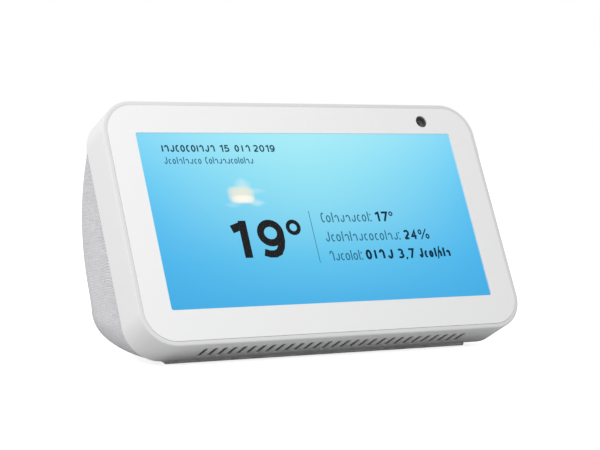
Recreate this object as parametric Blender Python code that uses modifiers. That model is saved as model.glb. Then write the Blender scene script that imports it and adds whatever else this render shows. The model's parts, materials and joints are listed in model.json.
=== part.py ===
"""Smart display: a 5.5 inch tabletop screen with a loudspeaker in a fabric-covered body.

Units are metres, +Z is up, the screen looks towards -Y, and the origin is at the middle of the
bounding box on the surface that the display stands on. Pieces of the screen are modelled in the
face's own frame, an empty that leans back: X across, Y into the body, Z up the face. Pieces of
the loudspeaker are modelled on its axis, another empty, whose Z points out of the back.
"""

from math import cos, pi, radians, sin, sqrt

import bmesh
import bpy
import numpy as np
from mathutils import Matrix, Vector
from mathutils.geometry import interpolate_bezier

MM = 0.001

# ---------------------------------------------------------------- driving dimensions
FACE_WIDTH = 148 * MM
FACE_HEIGHT = 86.6 * MM  # along the leaning face
FACE_CORNER = 12 * MM
FACE_LEAN = radians(25.2)
FACE_CENTRE = Vector((0, -18.4, 46.9)) * MM
BAND_DEPTH = 15 * MM  # depth of the moulded frame, square to the face
WALL = 2 * MM  # thickness of the moulded frame's walls
RIM = 1.5 * MM  # visible edge of the frame round the glass
GAP = 0.3 * MM  # clearance between pieces that touch

SCREEN_WIDTH = 125 * MM  # lit area of a 5.5 inch panel, 2:1
SCREEN_HEIGHT = 62.5 * MM

LEDGE_FRONT = 1.8 * MM
LEDGE_BACK = 3.2 * MM
LEDGE_INSET = 4.5 * MM
GLASS_THICKNESS = 1.1 * MM

SLOT_COUNT = 29
SLOT_PITCH = 3.6 * MM
SLOT_WIDTH = 1.5 * MM
SLOT_START = 4.5 * MM  # depth behind the face
SLOT_END = 12 * MM

CAMERA_X = 52.2 * MM
CAMERA_Z = 36.4 * MM
CAMERA_APERTURE = 2.1 * MM  # radius of the clear window

BUTTON_PITCH = 20 * MM
BUTTON_LENGTH = 12 * MM
BUTTON_WIDTH = 4.4 * MM
BUTTON_DEPTH = 7.8 * MM  # centre line of the controls behind the face
BUTTON_PROUD = 0.4 * MM
MICROPHONE_X = 36 * MM

SHUTTER_X = 56.4 * MM  # middle of the slider when the camera is open
SHUTTER_TRAVEL = 5.4 * MM
SHUTTER_STEM = 2 * MM

BODY_HALF_WIDTH = 73.3 * MM
BODY_REAR = 36.5 * MM  # furthest back point of the body
BODY_BASE = 1.5 * MM  # height of the body's flat underside
REAR_CORNER = 40 * MM  # radius of the body's rear corners, low down
UNDER_EDGE = (16.4 * MM, 13 * MM)  # across and up, rounding of the lower edge at the rear
FABRIC = 1.2 * MM
HOUSING_INSET = 1.6 * MM
HOUSING_WALL = 2 * MM
SPIGOT = 3.3 * MM  # how far the housing reaches into the frame

SPEAKER_CENTRE = Vector((0, 23, 44.5)) * MM
SPEAKER_TILT = radians(25)
SPEAKER_WIDTH = 43 * MM  # of the square mounting plate
SPEAKER_SCREWS = 18.6 * MM  # half the spacing of the mounting holes

PORT_Z = 18.5 * MM
PORT_PLATE = (46 * MM, 9.4 * MM)
PORT_FACE = 33.4 * MM  # Y of the port plate's outer face
IO_BOARD_TOP = 15.1 * MM

BASE_THICKNESS = 2.8 * MM
FOOT_HEIGHT = 1.4 * MM

ARC_STEPS = 5  # segments in a quarter turn of an outline

# Places of small pieces, in millimetres
BUTTON_PLACES = [-BUTTON_PITCH, 0.0, BUTTON_PITCH]  # metres, as the button's sizes are
BRACKET_SCREWS = [(sx * 66.4, sz * 36) for sx in (-1, 1) for sz in (-1, 1)]
BOARD_SCREWS = [(-46, 22), (42, -22)]
WALL_TOP = FACE_HEIGHT / 2 / MM  # heights of the frame's top wall up the face
WALL_INNER = WALL_TOP - WALL / MM
SWITCH_BOARD_TOP = 35.0
POST_UPPER = 5.2  # ends of the speaker's posts out from its face, inside the housing's wall
POST_LOWER = 3.5
BASE_SCREWS = [(-53, -2), (53, -2), (-36, 14.6), (36, 14.6)]


# ---------------------------------------------------------------- scene and materials
def start_scene():
    """Empties the scene and makes the object's collection and the cutters' collection."""
    for old in list(bpy.data.objects):
        bpy.data.objects.remove(old)
    made = []
    for name in ("smart_display", "cutters"):
        collection = bpy.data.collections.new(name)
        bpy.context.scene.collection.children.link(collection)
        made.append(collection)
    return made


PARTS, CUTTERS = start_scene()


def material(name, colour, roughness, metallic=0.0, alpha=1.0):
    made = bpy.data.materials.new(name)
    made.use_nodes = True
    shader = made.node_tree.nodes["Principled BSDF"]
    shader.inputs["Base Color"].default_value = (*colour, 1.0)
    shader.inputs["Roughness"].default_value = roughness
    shader.inputs["Metallic"].default_value = metallic
    shader.inputs["Alpha"].default_value = alpha
    made.diffuse_color = (*colour, alpha)
    return made


WHITE = material("white_plastic", (0.86, 0.86, 0.86), 0.42)
GLASS = material("cover_glass", (0.92, 0.94, 0.95), 0.05, alpha=0.35)
MASK = material("white_mask", (0.88, 0.88, 0.88), 0.3)
PANEL = material("display_panel", (0.23, 0.62, 0.86), 0.2)
CLOTH = material("body_fabric", (0.66, 0.66, 0.68), 0.9)
SHELL = material("housing_plastic", (0.74, 0.74, 0.75), 0.55)
RUBBER = material("foot_rubber", (0.16, 0.16, 0.17), 0.8)
DARK = material("black_plastic", (0.05, 0.05, 0.055), 0.5)
LENS = material("lens_glass", (0.05, 0.05, 0.06), 0.05)
STEEL = material("steel", (0.62, 0.62, 0.63), 0.35, metallic=1.0)
ALUMINIUM = material("aluminium", (0.77, 0.78, 0.79), 0.4, metallic=1.0)
BOARD = material("circuit_board", (0.05, 0.22, 0.12), 0.5)
FLEX = material("flex_cable", (0.75, 0.45, 0.12), 0.45)
PAPER = material("speaker_paper", (0.09, 0.09, 0.1), 0.75)
PAD = material("soft_pad", (0.45, 0.47, 0.5), 0.85)


def empty(name, location, rotation):
    made = bpy.data.objects.new(name, None)
    made.location = location
    made.rotation_euler = rotation
    PARTS.objects.link(made)
    return made


FACE = empty("face_frame", FACE_CENTRE, (-FACE_LEAN, 0, 0))
SPEAKER = empty("speaker_axis", SPEAKER_CENTRE, (-(pi / 2 - SPEAKER_TILT), 0, 0))


# ---------------------------------------------------------------- modelling helpers
def put(name, mesh, parent=None, look=None):
    """Makes an object of a mesh, in the parts' collection, or with no material a hidden cutter."""
    made = bpy.data.objects.new(name, mesh)
    made.parent = parent
    if look is None:
        made.hide_render = True
        made.display_type = "WIRE"
        CUTTERS.objects.link(made)
        return made
    mesh.materials.clear()
    mesh.materials.append(look)
    PARTS.objects.link(made)
    return made


def taken(obj):
    """The mesh of an object that an operator made, with the object itself removed."""
    mesh = obj.data
    mesh.transform(obj.matrix_world)
    bpy.data.objects.remove(obj)
    return mesh


def box(name, low, high, parent=None, look=None, edge=0.0):
    """A box between two corners, given in millimetres, with its edges bevelled by edge."""
    low, high = Vector(low) * MM, Vector(high) * MM
    bpy.ops.mesh.primitive_cube_add(size=1)
    mesh = taken(bpy.context.object)
    mesh.transform(Matrix.Diagonal((*(high - low), 1)))
    made = put(name, mesh, parent, look)
    made.location = (low + high) / 2
    if edge:
        soften(made, edge)
    return made


def rod(name, radius, start, end, parent=None, look=None, sides=24):
    """A cylinder between two points, given in millimetres as its radius is."""
    start, end = Vector(start) * MM, Vector(end) * MM
    along = end - start
    bpy.ops.mesh.primitive_cylinder_add(vertices=sides, radius=radius * MM, depth=along.length)
    mesh = taken(bpy.context.object)
    made = put(name, mesh, parent, look)
    made.location = (start + end) / 2
    made.rotation_euler = along.to_track_quat("Z", "Y").to_euler()
    smooth(made)
    return made


def slab(name, outlines, low, high, axis, parent=None, look=None):
    """A plate cut to flat outlines, inner ones being holes, from low to high along an axis."""
    curve = bpy.data.curves.new(name, "CURVE")
    curve.dimensions = "2D"
    curve.fill_mode = "BOTH"
    curve.extrude = (high - low) / 2
    for outline in outlines:
        spline = curve.splines.new("POLY")
        spline.points.add(len(outline) - 1)
        for point, (across, along) in zip(spline.points, outline):
            point.co = (across, along, 0, 1)
        spline.use_cyclic_u = True
    drawn = bpy.data.objects.new(name + "_outline", curve)
    bpy.context.scene.collection.objects.link(drawn)
    drawn.location = [(low + high) / 2 if axis == each else 0 for each in "XYZ"]
    drawn.rotation_euler = {"X": (pi / 2, 0, pi / 2), "Y": (pi / 2, 0, 0), "Z": (0, 0, 0)}[axis]
    bpy.context.view_layer.update()
    graph = bpy.context.evaluated_depsgraph_get()
    mesh = bpy.data.meshes.new_from_object(drawn.evaluated_get(graph))
    mesh.transform(drawn.matrix_world)
    bpy.data.objects.remove(drawn)
    tidy = bmesh.new()
    tidy.from_mesh(mesh)
    bmesh.ops.remove_doubles(tidy, verts=tidy.verts, dist=0.001 * MM)
    bmesh.ops.recalc_face_normals(tidy, faces=tidy.faces)
    if tidy.calc_volume(signed=True) < 0:
        bmesh.ops.reverse_faces(tidy, faces=tidy.faces)
    tidy.to_mesh(mesh)
    tidy.free()
    made = put(name, mesh, parent, look)
    smooth(made)
    return made


def ribbon(name, path, left, right, parent, look, thickness=0.2):
    """A flat cable between two X positions, along a path of Y and Z pairs, in millimetres."""
    points = [Vector(p) for p in path]
    sides = []
    for i, point in enumerate(points):
        before = (point - points[i - 1]).normalized() if i else Vector((0, 0))
        after = (points[i + 1] - point).normalized() if i + 1 < len(points) else Vector((0, 0))
        along = (before + after).normalized()
        mitre = max(0.5, along.dot(after if after.length else before))
        sides.append(Vector((-along.y, along.x)) * thickness / 2 / mitre)
    outline = [p + side for p, side in zip(points, sides)]
    outline += [p - side for p, side in reversed(list(zip(points, sides)))]
    return slab(name, [[tuple(p * MM) for p in outline]], left * MM, right * MM, "X", parent, look)


def wire(name, radius, points, look):
    """A round cable through points, in millimetres."""
    curve = bpy.data.curves.new(name, "CURVE")
    curve.dimensions = "3D"
    curve.bevel_depth = radius * MM
    curve.bevel_resolution = 1
    curve.use_fill_caps = True
    spline = curve.splines.new("POLY")
    spline.points.add(len(points) - 1)
    for point, place in zip(spline.points, points):
        point.co = (*(Vector(place) * MM), 1)
    made = bpy.data.objects.new(name, curve)
    curve.materials.append(look)
    PARTS.objects.link(made)
    return made


def turned(name, profile, parent=None, look=None, steps=32, place=(0, 0, 0), closed=False):
    """A turned piece on Z: radius and height pairs in millimetres, down its outer side."""
    mesh = bpy.data.meshes.new(name)
    points = [(radius * MM, 0, height * MM) for radius, height in profile]
    edges = [(i, i + 1) for i in range(len(points) - 1)]
    if closed:
        edges.append((len(points) - 1, 0))
    mesh.from_pydata(points, edges, [])
    made = put(name, mesh, parent, look)
    made.location = Vector(place) * MM
    turn = made.modifiers.new("turn", "SCREW")
    turn.steps = steps
    turn.render_steps = steps
    turn.use_merge_vertices = True
    turn.merge_threshold = 0.001 * MM
    return made


def smooth(obj):
    obj.data.shade_smooth()
    obj.data.set_sharp_from_angle(angle=radians(35))


def soften(obj, width, segments=2, angle=radians(50)):
    bevel = obj.modifiers.new("edge", "BEVEL")
    bevel.width = width * MM
    bevel.segments = segments
    bevel.limit_method = "ANGLE"
    bevel.angle_limit = angle


def cut(obj, *cutters):
    for cutter in cutters:
        step = obj.modifiers.new("cut", "BOOLEAN")
        step.operation = "DIFFERENCE"
        step.object = cutter


def join(obj, *others):
    for other in others:
        step = obj.modifiers.new("join", "BOOLEAN")
        step.operation = "UNION"
        step.object = other


# ---------------------------------------------------------------- flat outlines
def rounded(width, height, radius, centre=(0, 0), steps=ARC_STEPS):
    """A rectangle with round corners, anticlockwise from its lower right corner."""
    points = []
    for quarter, (sx, sy) in enumerate([(1, -1), (1, 1), (-1, 1), (-1, -1)]):
        for i in range(steps + 1):
            angle = (quarter - 1 + i / steps) * pi / 2
            x = centre[0] + sx * (width / 2 - radius) + radius * cos(angle)
            y = centre[1] + sy * (height / 2 - radius) + radius * sin(angle)
            points.append((x, y))
    return points


def pill(length, width, centre=(0, 0), steps=4):
    """A slot outline with half-round ends, long across."""
    points = []
    for i in range(2 * steps + 2):
        side = 1 if i <= steps else -1
        angle = -pi / 2 + (i if side > 0 else i - 1) * pi / steps
        x = centre[0] + side * (length - width) / 2 + width / 2 * cos(angle)
        y = centre[1] + width / 2 * sin(angle)
        points.append((x, y))
    return points


def circle(radius, centre=(0, 0), steps=16):
    turns = [2 * pi * i / steps for i in range(steps)]
    return [(centre[0] + radius * cos(a), centre[1] + radius * sin(a)) for a in turns]


def swapped(outline):
    return [(y, x) for x, y in outline]


# ---------------------------------------------------------------- the rear body's surface
def face_point(depth, up):
    """Y and Z of a point at a depth behind the face and a height up it, on the middle plane."""
    y = FACE_CENTRE.y + depth * cos(FACE_LEAN) + up * sin(FACE_LEAN)
    z = FACE_CENTRE.z - depth * sin(FACE_LEAN) + up * cos(FACE_LEAN)
    return y, z


def smoothstep(t):
    t = min(1.0, max(0.0, t))
    return t * t * (3 - 2 * t)


def back_profile():
    """The back's outline on the middle plane, from the frame's top edge round to the base."""
    top = (0, *face_point(BAND_DEPTH + GAP, FACE_HEIGHT / 2 - 0.7 * MM))
    rear = (0, BODY_REAR, 26 * MM)
    knots = [
        (top, (0, 22.3 * MM, 60.8 * MM), (0, BODY_REAR, 50 * MM), rear),
        (rear, (0, BODY_REAR, 13 * MM), (0, 30.5 * MM, BODY_BASE), (0, 20 * MM, BODY_BASE)),
    ]
    drawn = [interpolate_bezier(*map(Vector, knot), 40) for knot in knots]
    return np.array([(p.y, p.z) for p in drawn[0] + drawn[1][1:]])


def hinge_point(inset):
    """Where the plane of the frame's back edge meets the body's underside, raised by inset."""
    height = BODY_BASE + inset
    depth = BAND_DEPTH + GAP
    up = (height - FACE_CENTRE.z + depth * sin(FACE_LEAN)) / cos(FACE_LEAN)
    return np.array(face_point(depth, up))


def reach(inset):
    """A function of the angle at the hinge, giving how far the inset back profile is from it."""
    profile = back_profile()
    along = np.gradient(profile, axis=0)
    along /= np.linalg.norm(along, axis=1)[:, None]
    inner = profile + inset * np.stack([along[:, 1], -along[:, 0]], 1)
    arms = inner - hinge_point(inset)
    angles = np.arctan2(arms[:, 1], arms[:, 0])
    order = np.argsort(angles)
    lengths = np.hypot(arms[:, 0], arms[:, 1])
    return lambda angle: float(np.interp(angle, angles[order], lengths[order]))


def under_rounding(run, angle, inset):
    """How much the lower edge's rounding takes off the half width at a run from the hinge."""
    grown = smoothstep(run * cos(angle) / (30 * MM))
    lowest = FACE_CORNER * cos(FACE_LEAN)
    across = FACE_CORNER + (UNDER_EDGE[0] - FACE_CORNER) * grown - inset
    up = lowest + (UNDER_EDGE[1] - lowest) * grown - inset
    k = max(0.0, 1 - run * sin(angle) / up)
    return across * (1 - sqrt(max(0.0, 1 - k * k)))


def body_ring(angle, inset, fineness=1):
    """One section of the body, on a plane through the hinge line, from left to right."""
    full = pi / 2 - FACE_LEAN
    length = reach(inset)(angle)
    corner = FACE_CORNER + (REAR_CORNER - FACE_CORNER) * smoothstep(
        (full - angle) / (full - radians(23))
    )
    corner -= inset
    half = BODY_HALF_WIDTH - inset
    start, bend = 1.5 * MM, min(length - corner, FACE_CORNER) * 0.98
    near = [start + (bend - start) * (i / (4 * fineness)) ** 1.4 for i in range(4 * fineness)]
    sides = np.linspace(bend, length - corner, 2 * fineness + 1)[:-1]
    points = [(half - under_rounding(run, angle, inset), run) for run in [*near, *sides]]
    for turn in np.linspace(0, pi / 2, 7 * fineness + 1):
        run = length - corner + corner * sin(turn)
        taken_off = under_rounding(run, angle, inset) * cos(turn)
        points.append((half - corner * (1 - cos(turn)) - taken_off, run))
    last = points[-1][0]
    points += [(last * (1 - i / (2 * fineness)), length) for i in range(1, 2 * fineness + 1)]
    hinge = hinge_point(inset)
    left = [(-x, hinge[0] + run * cos(angle), hinge[1] + run * sin(angle)) for x, run in points]
    return left + [(-x, y, z) for x, y, z in reversed(left[:-1])]


def body_rings(inset, count=11, spigot=0.0, fineness=1):
    """The sections from the frame's back plane round to the flat underside."""
    full = pi / 2 - FACE_LEAN
    rings = [body_ring(full * (1 - i / (count - 1)), inset, fineness) for i in range(count)]
    if spigot:
        forward = Vector((0, -cos(FACE_LEAN), sin(FACE_LEAN))) * spigot
        rings.insert(0, [tuple(Vector(p) + forward) for p in rings[0]])
    return rings


def shell(name, outer, inner, look):
    """A closed shell between two grids of points, joined along their borders."""
    rows, columns = len(outer), len(outer[0])
    form = bmesh.new()
    grids = [[[form.verts.new(p) for p in ring] for ring in rings] for rings in (outer, inner)]
    for r in range(rows - 1):
        for c in range(columns - 1):
            for grid in grids:
                form.faces.new((grid[r][c], grid[r][c + 1], grid[r + 1][c + 1], grid[r + 1][c]))
    border = [(0, c) for c in range(columns)] + [(r, columns - 1) for r in range(1, rows)]
    border += [(rows - 1, c) for c in range(columns - 2, -1, -1)]
    border += [(r, 0) for r in range(rows - 2, 0, -1)]
    for (r1, c1), (r2, c2) in zip(border, border[1:] + border[:1]):
        form.faces.new((grids[0][r1][c1], grids[0][r2][c2], grids[1][r2][c2], grids[1][r1][c1]))
    bmesh.ops.recalc_face_normals(form, faces=form.faces)
    mesh = bpy.data.meshes.new(name)
    form.to_mesh(mesh)
    form.free()
    made = put(name, mesh, None, look)
    smooth(made)
    return made


def base_outline(inset):
    """The flat underside's outline, drawn in by inset, with a straight front edge."""
    front = hinge_point(0.0)[0] + 1.5 * MM
    ring = [Vector((x, y)) for x, y, _ in body_ring(0.0, 0.0) if y > front + 3 * MM]
    ring = [Vector((ring[0].x - 2 * MM, front)), *ring, Vector((ring[-1].x + 2 * MM, front))]
    drawn = []
    for i, point in enumerate(ring):
        before, after = ring[i - 1], ring[(i + 1) % len(ring)]
        along = (point - before).normalized() + (after - point).normalized()
        outward = Vector((-along.y, along.x)).normalized()
        drawn.append(tuple(point - outward * inset))
    return drawn


# ---------------------------------------------------------------- front frame and screen
def front_frame():
    half = FACE_HEIGHT / 2
    outline = rounded(FACE_WIDTH, FACE_HEIGHT, FACE_CORNER)
    frame = slab("front_frame", [outline], 0, BAND_DEPTH, "Y", FACE, WHITE)
    soften(frame, 0.9, segments=2)
    seat = rounded(FACE_WIDTH - 2 * RIM, FACE_HEIGHT - 2 * RIM, FACE_CORNER - RIM)
    inset = LEDGE_INSET
    window = rounded(FACE_WIDTH - 2 * inset, FACE_HEIGHT - 2 * inset, FACE_CORNER - inset)
    cavity = rounded(FACE_WIDTH - 2 * WALL, FACE_HEIGHT - 2 * WALL, FACE_CORNER - WALL)
    beyond = 2 * MM
    cut(
        frame,
        slab("seat_cutter", [seat], -beyond, LEDGE_FRONT, "Y", FACE),
        slab("window_cutter", [window], 0, BAND_DEPTH / 2, "Y", FACE),
        slab("cavity_cutter", [cavity], LEDGE_BACK, BAND_DEPTH + beyond, "Y", FACE),
    )
    for i, (x, z) in enumerate(BRACKET_SCREWS):
        boss = rod(f"frame_boss_{i + 1}", 2.3, (x, 2.4, z), (x, 6.9, z), FACE, sides=16)
        join(frame, boss)
        cut(frame, rod(f"frame_boss_hole_{i + 1}", 0.95, (x, 2.6, z), (x, 8, z), FACE, sides=12))
    middle = (SLOT_START + SLOT_END) / 2
    places = [(i - (SLOT_COUNT - 1) / 2) * SLOT_PITCH for i in range(SLOT_COUNT)]
    slots = [swapped(pill(SLOT_END - SLOT_START, SLOT_WIDTH, (middle, x), steps=2)) for x in places]
    cut(frame, slab("vent_cutter", slots, -half - beyond, -half + WALL + beyond, "Z", FACE))
    around = (BUTTON_LENGTH + 2 * GAP, BUTTON_WIDTH + 2 * GAP)
    holes = [pill(*around, (x, BUTTON_DEPTH)) for x in BUTTON_PLACES]
    holes += [circle(0.5 * MM, (side * MICROPHONE_X, BUTTON_DEPTH), 8) for side in (-1, 1)]
    slider_middle = SHUTTER_X - SHUTTER_TRAVEL / 2
    holes.append(pill(SHUTTER_TRAVEL + SHUTTER_STEM + 4 * GAP, 2.6 * MM, (slider_middle, BUTTON_DEPTH)))
    cut(frame, slab("top_cutter", holes, half - WALL - beyond, half + beyond, "Z", FACE))
    recess = pill(SHUTTER_TRAVEL + 8 * MM, 4.6 * MM, (slider_middle, BUTTON_DEPTH))
    cut(frame, slab("slider_recess_cutter", [recess], half - 1 * MM, half + beyond, "Z", FACE))
    return frame


def screen_stack():
    """Cover glass, its printed mask and the display panel, from the front to the back."""
    clear = 2 * (RIM + GAP)
    glass = rounded(FACE_WIDTH - clear, FACE_HEIGHT - clear, FACE_CORNER - RIM - GAP)
    slab("touch_glass", [glass], 0, GLASS_THICKNESS, "Y", FACE, GLASS)
    mask = rounded(FACE_WIDTH - clear - 0.4 * MM, FACE_HEIGHT - clear - 0.4 * MM, FACE_CORNER - 2 * MM)
    lit = rounded(SCREEN_WIDTH, SCREEN_HEIGHT, 0.8 * MM, steps=2)
    eye = circle(CAMERA_APERTURE, (CAMERA_X, CAMERA_Z), 24)
    slab("bezel_mask", [mask, lit, eye], 1.25 * MM, 1.55 * MM, "Y", FACE, MASK)
    box("display_panel", (-65, 1.85, -33.6), (65, 4.9, 32.4), FACE, PANEL, edge=0.3)
    bend = [(5.2, -20), (5.2, -34.6), (5.6, -35.8), (6.6, -36.5), (7.8, -36.6), (10.4, -35.6),
            (11.8, -33), (12.1, -28), (12.1, -24), (11.0, -23.4), (11.0, -21)]
    ribbon("display_flex", bend, -14, 14, FACE, FLEX)


def bracket():
    """The pressed plate behind the panel, with ears on the frame's bosses and feet on the base."""
    plate = rounded(130 * MM, 66 * MM, 3 * MM, (0, -1.5 * MM), steps=2)
    made = slab("display_bracket", [plate], 7 * MM, 8 * MM, "Y", FACE, STEEL)
    for i, (low, high) in enumerate(((-40, -30), (30, 40), (48, 55))):
        top = 39.4 if low > 45 else SWITCH_BOARD_TOP - 1.3
        join(made, box(f"bracket_tab_{i + 1}", (low, 7.1, 28), (high, 7.9, top), FACE))
    for i, (x, z) in enumerate(BRACKET_SCREWS):
        toward = 1 if z > 0 else -1
        low = (min(x * 0.9, x), 7.1, min(z, z - 8 * toward))
        high = (max(x * 0.9, x), 7.9, max(z, z - 8 * toward))
        ear = box(f"bracket_ear_{i + 1}", low, high, FACE)
        pad = rod(f"bracket_pad_{i + 1}", 3.2, (x, 7, z), (x, 8, z), FACE, sides=14)
        join(made, ear, pad)
        cut(made, rod(f"bracket_hole_{i + 1}", 1.15, (x, 5, z), (x, 10, z), FACE, sides=12))
    for i, (x, z) in enumerate(BOARD_SCREWS):
        join(made, rod(f"standoff_{i + 1}", 2.2, (x, 7.4, z), (x, 9.3, z), FACE, sides=16))
        cut(made, rod(f"standoff_hole_{i + 1}", 0.95, (x, 6, z), (x, 11, z), FACE, sides=12))
    return made


def screw(name, parent, head_radius, head_height, shank_radius, length, place, axis):
    """A pan-head screw with a hexagonal socket, its head's underside at place."""
    profile = [
        (0, head_height),
        (head_radius * 0.75, head_height),
        (head_radius, head_height * 0.5),
        (head_radius, 0),
        (shank_radius, 0),
        (shank_radius, -length),
        (0, -length),
    ]
    made = turned(name, profile, parent, STEEL, steps=10, place=place)
    made.rotation_euler = Vector(axis).to_track_quat("Z", "Y").to_euler()
    socket = turned(
        name + "_drive",
        [(0, head_height + 1), (head_radius * 0.45, head_height + 1),
         (head_radius * 0.45, head_height * 0.45), (0, head_height * 0.45)],
        made, steps=6,
    )
    cut(made, socket)
    return made


# ---------------------------------------------------------------- electronics behind the screen
def electronics():
    board_holes = [circle(1.15 * MM, (x * MM, z * MM), 12) for x, z in BOARD_SCREWS]
    outline = rounded(104 * MM, 54 * MM, 2 * MM, (-2 * MM, 0), steps=2)
    slab("main_board", [outline, *board_holes], 9.6 * MM, 10.8 * MM, "Y", FACE, BOARD)
    box("processor_shield", (-44, 11.1, -14), (-18, 13.1, 16), FACE, STEEL, edge=0.4)
    box("thermal_pad", (-40, 13.4, -10), (-22, 14.0, 12), FACE, PAD)
    sink = box("heat_sink", (-46, 14.3, -16), (-17, 15.5, 18), FACE, ALUMINIUM)
    for i in range(6):
        x = -45.5 + 5.6 * i
        join(sink, box(f"fin_{i + 1}", (x, 15, -15.8), (x + 1, 19.5, 17.8), FACE))
    box("radio_shield", (20, 11.1, -12), (38, 13.1, 8), FACE, STEEL, edge=0.4)
    box("antenna", (-71.7, 5.5, -22), (-71.4, 11.5, 12), FACE, FLEX)
    for i, (x, z) in enumerate(BOARD_SCREWS):
        screw(f"board_screw_{i + 1}", FACE, 1.9, 1.1, 0.8, 3.6, (x, 11.1, z), (0, 1, 0))
    for i, (x, z) in enumerate(BRACKET_SCREWS):
        screw(f"bracket_screw_{i + 1}", FACE, 1.9, 1.1, 0.8, 5.2, (x, 8.3, z), (0, 1, 0))


# ---------------------------------------------------------------- controls along the top
def push_button(name, x):
    """A key cap that stands through the top wall, with a flange that stops it inside."""
    centre = (x, BUTTON_DEPTH)
    cap = slab(
        name + "_button", [pill(BUTTON_LENGTH, BUTTON_WIDTH, centre)],
        (WALL_INNER - 0.6) * MM, FACE_HEIGHT / 2 + BUTTON_PROUD, "Z", FACE, WHITE,
    )
    soften(cap, 0.35)
    flange = [rounded(BUTTON_LENGTH + 2.4 * MM, BUTTON_WIDTH + 2 * MM, 1 * MM, centre, steps=2)]
    join(cap, slab(name + "_flange", flange, (WALL_INNER - 1.2) * MM, WALL_INNER * MM - GAP, "Z", FACE))
    y = BUTTON_DEPTH / MM
    x = x / MM
    post = (x, y, WALL_INNER - 2.3), (x, y, WALL_INNER - 0.8)
    join(cap, rod(name + "_post", 1.4, *post, FACE, sides=12))
    rod(name + "_plunger", 1.2, (x, y, 36.4), (x, y, WALL_INNER - 2.6), FACE, DARK, sides=12)
    low, high = (x - 2.6, y - 2.6, SWITCH_BOARD_TOP + 0.1), (x + 2.6, y + 2.6, 37.3)
    case = box(name + "_switch", low, high, FACE, DARK)
    cut(case, rod(name + "_well", 1.5, (x, y, 35.7), (x, y, 39), FACE, sides=12))


def microphones():
    y = BUTTON_DEPTH / MM
    for side, name in ((-1, "left"), (1, "right")):
        x = side * MICROPHONE_X / MM
        low, high = (x - 1.9, y - 1.5, SWITCH_BOARD_TOP + 0.1), (x + 1.9, y + 1.5, 36.2)
        box(f"microphone_{name}", low, high, FACE, STEEL)
        turned(
            f"microphone_boot_{name}",
            [(2.4, WALL_INNER - GAP / MM), (2.4, 36.5), (0.6, 36.5), (0.6, WALL_INNER - GAP / MM)],
            FACE, RUBBER, steps=16, place=(x, y, 0), closed=True,
        )


def switch_board():
    y = BUTTON_DEPTH / MM
    low, high = (-42, y - 3.6, SWITCH_BOARD_TOP - 1), (42, y + 3.6, SWITCH_BOARD_TOP)
    box("button_board", low, high, FACE, BOARD)
    drop = [(11.7, SWITCH_BOARD_TOP), (12.0, 33.4), (12.0, 28), (11.0, 26.4), (11.0, 24.4)]
    ribbon("button_flex", drop, -14, -4, FACE, FLEX)


def camera_and_shutter():
    x, z = CAMERA_X / MM, CAMERA_Z / MM
    body = box("camera_module", (x - 3.2, 3.6, z - 3.2), (x + 3.2, 6.8, z + 3.2), FACE, DARK, edge=0.25)
    join(body, rod("camera_barrel", 2.2, (x, 2.9, z), (x, 4.2, z), FACE, sides=20))
    cut(body, rod("camera_bore", 1.7, (x, 2, z), (x, 3.8, z), FACE, sides=20))
    lens = turned(
        "camera_lens", [(0, 0.6), (0.9, 0.5), (1.4, 0.15), (1.4, -0.3), (0, -0.3)],
        FACE, LENS, steps=20, place=(x, 3.4, z),
    )
    lens.rotation_euler = (pi / 2, 0, 0)

    middle = SHUTTER_X / MM
    depth = BUTTON_DEPTH / MM
    blade = middle - 51.0 + x  # middle of the blade, which covers the camera when closed
    knob = slab(
        "camera_shutter", [pill(7.4 * MM, 4 * MM, (SHUTTER_X, BUTTON_DEPTH))],
        FACE_HEIGHT / 2 - 0.7 * MM, FACE_HEIGHT / 2 + 0.6 * MM, "Z", FACE, WHITE,
    )
    soften(knob, 0.3)
    stem = SHUTTER_STEM / MM / 2
    for i, (low, high) in enumerate((
        ((middle - stem, depth - 0.8, WALL_INNER - 1), (middle + stem, depth + 0.8, WALL_TOP - 0.4)),
        ((middle - 8.2, depth - 2.2, WALL_INNER - 1.1), (middle + 6.6, depth + 2.2, WALL_INNER - 0.4)),
        ((blade + 3.6, 3.6, 37.6), (blade + 4.6, depth + 1, WALL_INNER - 0.8)),
        ((blade + 3.6, 1.9, 34.4), (blade + 4.6, 3.8, 38.4)),
        ((blade - 2.4, 1.9, 33.9), (blade + 4.6, 2.4, 38.4)),
    )):
        join(knob, box(f"shutter_part_{i + 1}", low, high, FACE))


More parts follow.
